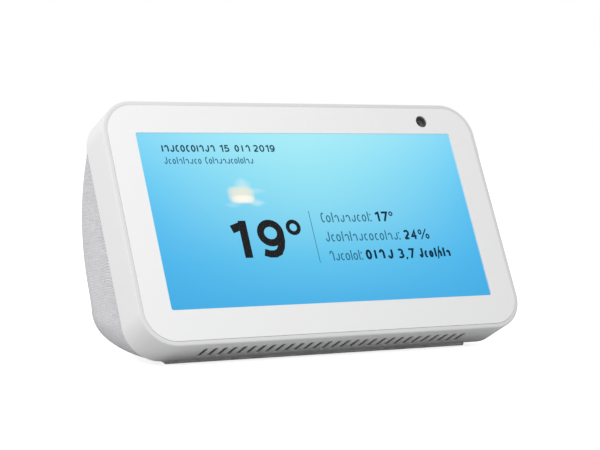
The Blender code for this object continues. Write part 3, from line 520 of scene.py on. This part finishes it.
# ---------------------------------------------------------------- front frame
def build_front_frame():
    """The moulded band: a thin rim round the glass, rounded outside, with slots and openings."""
    levels = [(1.56, 1.1), (1.56, 0.32), (1.52, 0.24), (1.42, 0.2), (1.0, 0.2), (0.7, 0.21)]
    levels += [(0.55 - 0.55 * sin(t), 0.72 - 0.5 * cos(t)) for t in np.linspace(0, pi / 2, 8)]
    levels += [(0.5 - 0.5 * cos(t), 14.5 + 0.5 * sin(t)) for t in np.linspace(0, pi / 2, 6)]
    levels += [(2, 15), (2, 3.2), (4.5, 3.2), (4.5, 1.8), (1.56, 1.8)]
    rings = []
    for inset, depth in levels:
        inset *= MM
        outline = rounded(FACE_WIDTH - 2 * inset, FACE_HEIGHT - 2 * inset, FACE_CORNER - inset, steps=24)
        rings.append(on_face(outline, depth * MM))
    blank = lofted("front_frame_shell", rings, closed=True)

    tools = bmesh.new()
    bottom = -TOP
    for i in range(29):
        x = (i - 14) * 3.6 * MM
        stack = []
        for height, grown in ((-1, 0.12), (0, 0.12), (0.12, 0), (3, 0)):
            wide, long = (1.5 + 2 * grown) * MM, (7.5 + 2 * grown) * MM
            outline = [(x + b, 8.25 * MM + a) for a, b in pill(long, wide, steps=6)]
            stack.append(on_top(outline, bottom + height * MM))
        lofted("", stack, into=tools)
    for x in (-20 * MM, 0, 20 * MM):
        stack = [on_top(pill(12.6 * MM + g, 5 * MM + g, (x, CONTROL_DEPTH)), TOP + h * MM)
                 for h, g in ((1, 0.3 * MM), (0, 0.3 * MM), (-0.15, 0), (-3, 0))]
        lofted("", stack, into=tools)
    for x in (-36 * MM, 36 * MM):
        stack = [on_top(pill(1 * MM + g, 1 * MM + g - 1e-6, (x, CONTROL_DEPTH), steps=6), TOP + h * MM)
                 for h, g in ((1, 0.3 * MM), (0, 0.3 * MM), (-0.15, 0), (-3, 0))]
        lofted("", stack, into=tools)
    middle = SHUTTER_X - SHUTTER_TRAVEL / 2
    stack = [on_top(pill(SHUTTER_TRAVEL + 8 * MM + g, 4.6 * MM + g, (middle, CONTROL_DEPTH)), TOP + h * MM)
             for h, g in ((1, 0.3 * MM), (0, 0.3 * MM), (-0.15, 0), (-1, 0))]
    lofted("", stack, into=tools)
    first = carved("front_frame_shell", blank, mesh_of(tools, "tools"))
    opening = pill(8.6 * MM, 2.6 * MM, (middle, CONTROL_DEPTH))
    slit = lofted("slit", [on_top(opening, TOP - h * MM) for h in (0.5, 3)])
    made = piece("front_frame_shell", carved("front_frame_shell", first, slit), "body", FRAME_WHITE,
                 ["front_frame"], "white_plastic", FACE)
    weighted(made)


# ---------------------------------------------------------------- glass, bezel and screen
def plate(name, outline, front, back, look, **words):
    """A thin plate on the face, from a front depth to a back depth."""
    rings = [on_face(outline, back), on_face(outline, front)]
    return piece(name, lofted(name, rings), "body", look, local=FACE, **words)


def build_face():
    def edge(inset):
        inset += SEAM
        return rounded(FACE_WIDTH - 2 * inset, FACE_HEIGHT - 2 * inset, FACE_CORNER - inset, steps=24)

    glass = plate("cover_glass", edge(0), 0.0, 0.05 * MM, GLASS,
                  stands_for=["touch_glass"], slot="cover_glass")
    weighted(glass)
    glass.visible_shadow = False

    centre = (0.15 * MM, 0.2 * MM)
    window = rounded(125.3 * MM, 62.8 * MM, 0.8 * MM, centre, 24)
    form = bmesh.new()
    front, back = 0.06 * MM, 0.6 * MM
    rings = [
        on_face(edge(0), back), on_face(edge(0), front + 0.1 * MM),
        on_face(edge(0.03 * MM), front + 0.03 * MM), on_face(edge(0.1 * MM), front),
        on_face(window, front), on_face(window, back),
    ]
    lofted("", rings, closed=True, into=form)
    iris = rounded(4.5 * MM, 4.5 * MM, 2.2499 * MM, CAMERA, 10)
    eye = lofted("eye", [on_face(iris, depth) for depth in (0, 2 * MM)])
    bezel = piece("bezel_print", carved("bezel_print", mesh_of(form, "bezel"), eye), "body", INK,
                  ["bezel_mask"], "white_mask", FACE)
    weighted(bezel)

    picture = rounded(126.4 * MM, 63.9 * MM, 0.9 * MM, centre, 8)
    plate("screen_picture", picture, 0.64 * MM, 1.0 * MM, screen_look(), slot="display_panel")


def screen_look():
    """A lit picture of a clear sky: pale at the middle of its top, deep blue below and at its sides."""
    look = Look("screen_picture", (0, 0, 0), 0.3, Emission_Strength=1.05, Specular_IOR_Level=0.0)
    split = look.node("ShaderNodeSeparateXYZ", Vector=look.place())
    x, z = split.outputs["X"], split.outputs["Z"]
    up = look.math("MULTIPLY_ADD", z, 1 / (62.5 * MM), 0.5, clamp=True)
    middle = look.ramp(up, [
        (0.02, srgb(80, 179, 231)), (0.26, srgb(99, 197, 237)), (0.5, srgb(132, 214, 241)),
        (0.74, srgb(150, 227, 244)), (0.98, srgb(168, 236, 248)),
    ])
    sides = look.ramp(up, [
        (0.02, srgb(70, 173, 227)), (0.26, srgb(78, 181, 235)), (0.5, srgb(91, 191, 239)),
        (0.74, srgb(108, 203, 243)), (0.98, srgb(130, 215, 247)),
    ])
    out = look.math("ABSOLUTE", look.math("MULTIPLY", x, 1 / (64 * MM)))
    sky = look.mix(look.math("POWER", out, 1.6, clamp=True), middle, sides)

    haze = look.noise(34, 3, 0.55)

    def puff(cx, cz, rx, rz, soft, square):
        """A soft round patch: 1 inside, fading to 0 at its edge."""
        dx = look.math("MULTIPLY", look.math("SUBTRACT", x, cx * MM), 1 / (rx * MM))
        dz = look.math("MULTIPLY", look.math("SUBTRACT", z, cz * MM), 1 / (rz * MM))
        far = look.math("ADD", look.math("POWER", look.math("ABSOLUTE", dx), square),
                        look.math("POWER", look.math("ABSOLUTE", dz), square))
        wavy = look.math("ADD", far, look.math("MULTIPLY_ADD", haze, 0.8, -0.4))
        return look.math("MULTIPLY", look.math("SUBTRACT", 1.0, wavy), 1 / soft, clamp=True)

    for cx, cz, rx, rz, soft, square, strength, colour in (
        (-26.6, 12.6, 3.6, 2.8, 1.6, 1.4, 0.8, srgb(212, 242, 248)),
        (-21.8, 10.2, 4.2, 1.4, 1.6, 1.3, 0.7, srgb(190, 236, 248)),
        (-22.4, 5.8, 3.6, 1.6, 1.5, 1.4, 0.8, srgb(214, 242, 248)),
        (-31.6, 5.2, 4.0, 1.3, 1.6, 1.4, 0.6, srgb(190, 236, 248)),
        (-27.8, 8.8, 5.3, 3.4, 1.3, 3.6, 0.95, srgb(251, 240, 212)),
        (-27.5, 7.3, 4.5, 1.6, 1.0, 3.0, 0.9, srgb(255, 252, 240)),
    ):
        sky = look.mix(look.math("MULTIPLY", puff(cx, cz, rx, rz, soft, square), strength), sky, colour)
    look.paint("Emission Color", sky)
    return look.material


def flat_look(name, colour):
    """Dark type on the lit screen: its own faint glow is all that shows."""
    look = Look(name, (0, 0, 0), 0.4, Emission_Strength=1.0, Specular_IOR_Level=0.0)
    mottle = look.noise(900, 2, 0.5)
    look.paint("Emission Color", look.mix(mottle, shade(colour, 0.92), shade(colour, 1.08)))
    return look.material


def bow(centre, radii, start, end, steps=14):
    """Points along part of an ellipse, from one angle to another in degrees."""
    turns = np.radians(np.linspace(start, end, steps))
    return [(centre[0] + radii[0] * cos(t), centre[1] + radii[1] * sin(t)) for t in turns]


# The middle lines of each figure's strokes, in a box 1 wide and 1 tall.
FIGURES = {
    "0": [bow((0.5, 0.5), (0.5, 0.5), 0, 360, 28)],
    "1": [[(-0.08, 0.84), (1.0, 0.98)], [(1.0, 1.13), (1.0, -0.13)]],
    "2": [bow((0.46, 0.7), (0.5, 0.3), 150, -30) + [(0.02, 0.0)], [(-0.04, 0.0), (1.0, 0.0)]],
    "3": [bow((0.42, 0.75), (0.5, 0.25), 140, -80), bow((0.42, 0.26), (0.58, 0.26), 84, -140)],
    "4": [[(0.74, -0.13), (0.74, 1.0), (0.0, 0.28), (1.08, 0.28)]],
    "5": [[(0.92, 1.0), (0.14, 1.0), (0.1, 0.54)] + bow((0.4, 0.3), (0.58, 0.3), 110, -140)],
    "7": [[(-0.02, 1.0), (1.0, 1.0), (0.36, -0.13)]],
    "9": [bow((0.5, 0.68), (0.5, 0.32), 0, 360, 28),
          [(1.0, 0.68), (0.99, 0.44), (0.9, 0.22), (0.75, 0.06), (0.54, 0.0), (0.28, 0.0), (0.0, 0.06)]],
}
# Marks in the place of a word's letters: an arch, a ring, a cup, a post and a hook.
MARKS = (
    (0.8, [[(0.0, -0.06), (0.0, 0.6)] + bow((0.5, 0.6), (0.5, 0.4), 180, 0) + [(1.0, -0.06)]]),
    (0.85, [bow((0.5, 0.5), (0.5, 0.5), 0, 360, 24)]),
    (0.8, [[(0.0, 1.06), (0.0, 0.4)] + bow((0.5, 0.4), (0.5, 0.4), 180, 360) + [(1.0, 1.06)]]),
    (0.2, [[(0.5, -0.06), (0.5, 1.06)]]),
    (0.65, [bow((0.6, 0.5), (0.6, 0.5), 50, 310, 20)]),
)


def stroke(form, points, thick, to_space):
    """Adds a flat ribbon of this thickness along points to form."""
    line = np.array(points, float)
    closed = np.allclose(line[0], line[-1])
    ways = np.diff(line, axis=0)
    ways /= np.linalg.norm(ways, axis=1)[:, None]
    before = np.vstack([ways[-1:] if closed else ways[:1], ways])
    after = np.vstack([ways, ways[:1] if closed else ways[-1:]])
    lean = before + after
    lean /= np.linalg.norm(lean, axis=1)[:, None]
    stretch = np.clip((lean * before).sum(1), 0.5, 1)[:, None]
    side = np.stack([-lean[:, 1], lean[:, 0]], 1) * thick / 2 / stretch
    rows = [[form.verts.new(to_space(*p)) for p in line + sign * side] for sign in (1, -1)]
    for i in range(len(line) - 1):
        form.faces.new((rows[0][i], rows[0][i + 1], rows[1][i + 1], rows[1][i]))


def shape(form, strokes, left, right, low, high, thick):
    """Adds one figure or mark, its ink filling this box on the face."""
    half = thick / 2
    wide, tall = max(right - left - thick, 0), high - low - thick
    for i, line in enumerate(strokes):
        depth = READOUT - i * 0.004 * MM
        placed = [(left + half + x * wide, low + half + z * tall) for x, z in line]
        stroke(form, placed, thick, lambda x, z: (x * MM, depth, z * MM))


def number(form, text, left, right, low, high, thick):
    """Adds figures in a row between two ends, with a small gap between them."""
    gap = 0.16 * (high - low)
    narrow = [0.66 if figure == "1" else 1 for figure in text]
    unit = (right - left - gap * (len(text) - 1)) / sum(narrow)
    for figure, share in zip(text, narrow):
        shape(form, FIGURES[figure], left, left + unit * share, low, high, thick)
        left += unit * share + gap


def word(form, left, right, low, high, thick, seed, rise=0.0):
    """Adds a word as a row of plain marks, each as wide as a letter. Some rise above the rest."""
    tall, gap = high - low, 0.17 * (high - low)
    picked, used = [], -gap
    while True:
        wide, strokes = MARKS[(seed + len(picked) * 2 + len(picked) // 5) % len(MARKS)]
        wide = max(wide * 0.78 * tall, thick)
        if used + gap + wide > right - left and picked:
            break
        picked.append((wide, strokes))
        used += gap + wide
    spare = (right - left - used) / max(len(picked) - 1, 1)
    for i, (wide, strokes) in enumerate(picked):
        top = high + rise if i == 0 or strokes is MARKS[3][1] else high
        shape(form, strokes, left, left + wide, low, top, thick)
        left += wide + gap + spare


def ring_mark(form, x, z, outer, thick):
    """Adds a degree sign."""
    shape(form, FIGURES["0"], x - outer, x + outer, z - outer, z + outer, thick)


def build_readout():
    """Figures and rows of plain marks on the screen, each tone a piece of its own."""

    def finish(form, name, colour):
        raised = bmesh.ops.extrude_face_region(form, geom=list(form.faces))
        moved = [v for v in raised["geom"] if isinstance(v, bmesh.types.BMVert)]
        bmesh.ops.translate(form, verts=moved, vec=(0, -0.02 * MM, 0))
        mesh = bpy.data.meshes.new(name)
        form.to_mesh(mesh)
        form.free()
        piece(name, mesh, "body", flat_look(name, colour), slot="display_panel", local=FACE)

    big = bmesh.new()
    shape(big, FIGURES["1"], -35.4, -28.5, -14, -0.5, 2.9)
    shape(big, FIGURES["9"], -25.0, -14.9, -14.1, -0.4, 2.6)
    ring_mark(big, -10.7, -3.4, 2.85, 1.45)
    finish(big, "screen_reading", srgb(36, 36, 38))

    values = bmesh.new()
    number(values, "17", 22.8, 28.2, -1.95, 1.75, 0.78)
    ring_mark(values, 29.5, 0.85, 0.85, 0.45)
    number(values, "24", 32.8, 38.3, -9, -5.35, 0.78)
    for x, z in ((39.7, -6.3), (42.6, -8.0)):
        shape(values, FIGURES["0"], x - 0.8, x + 0.8, z - 1.0, z + 1.0, 0.5)
    shape(values, [[(1, 1.1), (0, -0.1)]], 39.6, 42.6, -9, -5.3, 0.45)
    word(values, 15.4, 26.5, -16, -12.3, 0.85, 1)
    shape(values, FIGURES["3"], 28.5, 31.0, -16, -12.3, 0.78)
    shape(values, [[(1, 1), (0, 0)]], 31.5, 32.4, -16.7, -15.2, 0.6)
    shape(values, FIGURES["7"], 32.8, 35.4, -16, -12.3, 0.78)
    word(values, 37.3, 50.4, -16, -13.3, 0.82, 2, 1.1)
    shape(values, [[(1, 1.1), (0, -0.1)]], 44.7, 46.3, -16.4, -12.0, 0.5)
    finish(values, "screen_values", srgb(22, 50, 74))

    dates = bmesh.new()
    word(dates, -53.8, -34.0, 24.7, 27.3, 0.52, 3)
    number(dates, "15", -32.1, -28.4, 24.7, 27.3, 0.5)
    word(dates, -26.4, -20.5, 24.7, 27.3, 0.52, 1)
    number(dates, "2019", -19.2, -10.8, 24.7, 27.3, 0.5)
    finish(dates, "screen_dates", srgb(38, 72, 84))

    labels = bmesh.new()
    word(labels, -53.8, -40.0, 20.3, 22.2, 0.36, 2, 0.7)
    word(labels, -38.5, -20.3, 20.3, 22.2, 0.36, 4, 0.7)
    word(labels, 1.0, 20.2, -1.9, 0.8, 0.44, 4, 1.0)
    word(labels, 1.0, 30.2, -9, -6.3, 0.44, 2, 1.0)
    word(labels, 1.0, 13.0, -16, -13.3, 0.44, 0, 1.0)
    for x, low, high in ((20.9, -1.9, 1.0), (30.9, -9.0, -6.1), (13.7, -16.0, -13.1)):
        for z in (low + 0.3, high - 0.3):
            ring_mark(labels, x, z, 0.32, 0.3)
    stroke(labels, [(-3.3, -16.5), (-3.3, 2.5)], 0.22, lambda x, z: (x * MM, READOUT, z * MM))
    finish(labels, "screen_labels", srgb(52, 110, 138))


def build_camera():
    """The dark well behind the bezel's small window, and the lens at its bottom."""
    well = [(2.26, 0.61), (2.9, 0.61), (2.9, 1.8), (2.3, 1.8)]
    face = [(3.2, 2.5), (1.5, 2.5), (1.3, 2.7), (0.95, 2.7), (0.95, 2.85), (3.2, 2.85)]
    for name, profile in (("camera_well", well), ("camera_face", face)):
        mesh = lathed(name, [(r * MM, d * MM) for r, d in profile], CAMERA)
        piece(name, mesh, "body", WELL, slot="black_plastic", local=FACE)

    rings = []
    for share in (0, 0.25, 0.5, 0.75, 1):
        outline = circle(CAMERA, 0.95 * (share + 0.005) * MM, 24)
        rings.append(on_face(outline, (2.62 + 0.14 * share ** 2) * MM))
    rings.append(on_face(outline, 2.84 * MM))
    piece("camera_dome", lofted("camera_dome", rings), "body", LENS, slot="lens_glass", local=FACE)


# ---------------------------------------------------------------- controls
def build_controls():
    for name, x in (("mute", -20 * MM), ("volume_down", 0.0), ("volume_up", 20 * MM)):
        stack = []
        for height, inset in ((-2.6, 0), (0.1, 0), (0.25, 0.05), (0.35, 0.16), (0.4, 0.34)):
            outline = pill((12 - 2 * inset) * MM, (4.4 - 2 * inset) * MM, (x, CONTROL_DEPTH))
            stack.append(on_top(outline, TOP + height * MM))
        cap = piece(f"{name}_cap", lofted("cap", stack), f"{name}_key", WHITE, [f"{name}_button"],
                    "white_plastic", FACE)
        weighted(cap)
        mark = bmesh.new()
        height = TOP + 0.4 * MM

        def line(x0, y0, x1, y1, wide=0.36):
            a, b = Vector((x0, y0)), Vector((x1, y1))
            side = (b - a).normalized().orthogonal() * wide / 2
            corners = (a + side, b + side, b - side, a - side)
            low = [(x + p.x * MM, CONTROL_DEPTH + p.y * MM, height - 0.01 * MM) for p in corners]
            high = [(px, py, height + 0.015 * MM) for px, py, _ in low]
            lofted("", [low, high], into=mark)

        if name == "mute":
            rows = [(1.5, -0.01), (1.5, 0.015), (1.16, 0.015), (1.16, -0.01)]
            rings = [on_top(circle((x, CONTROL_DEPTH), r * MM, 30), height + h * MM) for r, h in rows]
            lofted("", rings, closed=True, into=mark)
            line(-0.88, -0.88, 0.88, 0.88, 0.32)
        else:
            line(-1.3, 0, 1.3, 0)
            if name == "volume_up":
                line(0, -1.3, 0, -0.18)
                line(0, 0.18, 0, 1.3)
        piece(f"{name}_symbol", mesh_of(mark, "mark"), f"{name}_key", PRINT, slot="white_plastic", local=FACE)

    stack = []
    for height, inset in ((-0.7, 0), (0.3, 0), (0.45, 0.04), (0.56, 0.14), (0.6, 0.3)):
        outline = pill((7.4 - 2 * inset) * MM, (4 - 2 * inset) * MM, (SHUTTER_X, CONTROL_DEPTH))
        stack.append(on_top(outline, TOP + height * MM))
    form = bmesh.new()
    lofted("", stack, into=form)
    for i in range(5):
        x = SHUTTER_X + (i - 2) * 0.9 * MM
        rib = [[(x + sx * w * MM, CONTROL_DEPTH + sy * 1.1 * MM, TOP + h * MM)
                for sx, sy in ((-1, -1), (1, -1), (1, 1), (-1, 1))] for w, h in ((0.22, 0.55), (0.12, 0.72))]
        lofted("", rib, into=form)
    x, depth, inner = SHUTTER_X / MM, CONTROL_DEPTH / MM, (TOP - WALL) / MM
    blade = x - 51.0 + CAMERA[0] / MM
    for low, high in (
        ((x - 1, depth - 0.8, inner - 1), (x + 1, depth + 0.8, TOP / MM - 0.4)),
        ((x - 8.2, depth - 2.2, inner - 1.1), (x + 6.6, depth + 2.2, inner - 0.4)),
        ((blade + 3.6, 3.6, 37.6), (blade + 4.6, depth + 1, inner - 0.8)),
        ((blade + 3.6, 1.9, 34.4), (blade + 4.6, 3.8, 38.4)),
        ((blade - 2.4, 1.9, 33.9), (blade + 4.6, 2.4, 38.4)),
    ):
        corners = ((low[0], low[1]), (high[0], low[1]), (high[0], high[1]), (low[0], high[1]))
        outline = [(px * MM, py * MM) for px, py in corners]
        lofted("", [on_top(outline, pz * MM) for pz in (low[2], high[2])], into=form)
    slider = piece("shutter_slider", mesh_of(form, "shutter_slider"), "shutter", WHITE, ["camera_shutter"],
                   "white_plastic", FACE)
    weighted(slider)


# ---------------------------------------------------------------- fabric body
HALF, REAR, BASE = 73.3 * MM, 36.5 * MM, 1.5 * MM
FULL = pi / 2 - FACE_LEAN


def face_point(depth, up):
    y = FACE_CENTRE.y + depth * cos(FACE_LEAN) + up * sin(FACE_LEAN)
    z = FACE_CENTRE.z - depth * sin(FACE_LEAN) + up * cos(FACE_LEAN)
    return y, z


def smoothstep(t):
    t = np.clip(t, 0, 1)
    return t * t * (3 - 2 * t)


def back_profile():
    top = (0, *face_point(BAND_DEPTH + GAP, FACE_HEIGHT / 2 - 0.7 * MM))
    rear = (0, REAR, 26 * MM)
    knots = [
        (top, (0, 22.3 * MM, 60.8 * MM), (0, REAR, 50 * MM), rear),
        (rear, (0, REAR, 13 * MM), (0, 30.5 * MM, BASE), (0, 20 * MM, BASE)),
    ]
    drawn = [interpolate_bezier(*map(Vector, knot), 120) for knot in knots]
    return np.array([(p.y, p.z) for p in drawn[0] + drawn[1][1:]])


def hinge_point(inset):
    depth = BAND_DEPTH + GAP
    up = (BASE + inset - FACE_CENTRE.z + depth * sin(FACE_LEAN)) / cos(FACE_LEAN)
    return np.array(face_point(depth, up))


def reach(inset):
    profile = back_profile()
    along = np.gradient(profile, axis=0)
    along /= np.linalg.norm(along, axis=1)[:, None]
    arms = profile + inset * np.stack([along[:, 1], -along[:, 0]], 1) - hinge_point(inset)
    angles = np.arctan2(arms[:, 1], arms[:, 0])
    order = np.argsort(angles)
    return lambda angle: float(np.interp(angle, angles[order], np.hypot(*arms.T)[order]))


def under_rounding(run, angle, inset):
    grown = smoothstep(run * cos(angle) / (30 * MM))
    lowest = FACE_CORNER * cos(FACE_LEAN)
    across = FACE_CORNER + (16.4 * MM - FACE_CORNER) * grown - inset
    up = lowest + (13 * MM - lowest) * grown - inset
    k = np.maximum(0.0, 1 - run * sin(angle) / up)
    return across * (1 - np.sqrt(np.maximum(0.0, 1 - k * k)))


def body_ring(angle, inset, arms):
    """Half of one section: X and run from the hinge, from the front side to the middle of the back."""
    length = arms(angle)
    corner = FACE_CORNER + (40 * MM - FACE_CORNER) * smoothstep((FULL - angle) / (FULL - radians(23)))
    corner = corner - inset
    half = HALF - inset
    start, bend = 0.4 * MM, min(length - corner, FACE_CORNER) * 0.98
    runs = np.concatenate([start + (bend - start) * (np.arange(16) / 16) ** 1.4,
                           np.linspace(bend, length - corner, 11)[:-1]])
    side = half - under_rounding(runs, angle, inset)
    turn = np.linspace(0, pi / 2, 33)
    bent = length - corner + corner * np.sin(turn)
    swept = half - corner * (1 - np.cos(turn)) - under_rounding(bent, angle, inset) * np.cos(turn)
    flat = swept[-1] * (1 - np.arange(1, 11) / 10)
    return np.concatenate([side, swept, flat]), np.concatenate([runs, bent, np.full(10, length)])


def build_fabric():
    """The woven cover, stretched over the housing, its hems rolled in at the frame and the base."""
    inner, edge = 1.2 * MM, 0.55 * MM
    arms = {inset: reach(inset) for inset in (0.0, edge, inner)}
    hinge = {inset: hinge_point(inset) for inset in arms}
    angles = FULL * (1 - np.linspace(0, 1, 71) ** 1.25)
    profile = back_profile()
    climbed = np.concatenate([[0], np.cumsum(np.hypot(*np.diff(profile, axis=0).T))])[::-1]
    rows, cloth, lining = [], [], []

    def world(x, run, angle, inset):
        return np.stack([x, hinge[inset][0] + run * cos(angle), hinge[inset][1] + run * sin(angle)], 1)

    for angle in angles:
        outer = world(*body_ring(angle, 0.0, arms[0.0]), angle, 0.0)
        tucked = world(*body_ring(angle, edge, arms[edge]), angle, edge)
        run = np.hypot(outer[:, 1] - hinge[0.0][0], outer[:, 2] - hinge[0.0][1])
        ahead = run * sin(FULL - angle)
        above = outer[:, 2] - BASE
        near = np.minimum(ahead, above)
        share = 1 - np.sqrt(np.maximum(0, 1 - (1 - np.clip(near / edge, 0, 1)) ** 2))
        shown = outer + (tucked - outer) * share[:, None]
        step = np.hypot(*np.diff(outer[::-1, :2], axis=0).T)
        round_it = np.concatenate([[0], np.cumsum(step)])[::-1]
        climb = np.interp(outer[:, 2], profile[::-1, 1], climbed)
        rows.append(shown)
        cloth.append(np.stack([round_it, climb], 1))
        lining.append(world(*body_ring(angle, inner, arms[inner]), angle, inner))

    def whole(half, sign=1.0):
        other = half[:-1][::-1].copy()
        other[:, 0] *= -1
        return np.concatenate([half, other])

    outer = np.array([whole(r) for r in rows])
    inside = np.array([whole(r) for r in lining])
    thread = np.array([whole(c) for c in cloth])
    count, wide = outer.shape[:2]
    form = bmesh.new()
    layer = form.verts.layers.float_vector.new("cloth")
    grids = []
    for skin in (outer, inside):
        grid = [[form.verts.new(p) for p in row] for row in skin]
        for r in range(count):
            for c in range(wide):
                grid[r][c][layer] = (thread[r, c, 0], thread[r, c, 1], 0)
        grids.append(grid)
    for grid in grids:
        for r in range(count - 1):
            for c in range(wide - 1):
                form.faces.new((grid[r][c], grid[r][c + 1], grid[r + 1][c + 1], grid[r + 1][c]))
    border = [(0, c) for c in range(wide)] + [(r, wide - 1) for r in range(1, count)]
    border += [(count - 1, c) for c in range(wide - 2, -1, -1)] + [(r, 0) for r in range(count - 2, 0, -1)]
    for (r1, c1), (r2, c2) in zip(border, border[1:] + border[:1]):
        form.faces.new((grids[0][r1][c1], grids[0][r2][c2], grids[1][r2][c2], grids[1][r1][c1]))
    blank = mesh_of(form, "fabric")
    opening = pill(46.6 * MM, 10 * MM, PORTS, 20)
    hole = lofted("hole", [on_face(opening, y * MM) for y in (27, 45)])
    cover = piece("fabric_body", carved("fabric_body", blank, hole), "body", CLOTH,
                  ["fabric_cover"], "body_fabric")


# ---------------------------------------------------------------- port plate
def build_ports():
    plate_front, plate_back = 33.4 * MM, 31.8 * MM
    stack = []
    for y, inset in (
        (plate_back, 0), (plate_front - 0.25 * MM, 0),
        (plate_front - 0.07 * MM, 0.07 * MM), (plate_front, 0.25 * MM),
    ):
        stack.append(on_face(pill(46 * MM - 2 * inset, 9.4 * MM - 2 * inset, PORTS, 20), y))
    tools = bmesh.new()
    for x, z, width, height, radius in (
        (-14.5, 18.5, 6.8, 6.8, 3.399), (0, 17.7, 8, 3.2, 0.8), (14.5, 18.5, 4.0, 4.0, 1.999),
    ):
        rings = []
        for y, grown in ((28, 0), (plate_front / MM - 0.3, 0), (plate_front / MM, 0.3), (36, 0.3)):
            across, tall, bend = ((size + g) * MM for size, g in
                                  ((width, 2 * grown), (height, 2 * grown), (radius, grown)))
            rings.append(on_face(rounded(across, tall, bend, (x * MM, z * MM), 10), y * MM))
        lofted("", rings, into=tools)
    mesh = carved("port_insert", lofted("port", stack), mesh_of(tools, "port_tools"))
    made = piece("port_insert", mesh, "body", DARK_PORT, ["port_plate"], "black_plastic")
    weighted(made)


build_front_frame()
build_face()
build_readout()
build_camera()
build_controls()
build_fabric()
build_ports()
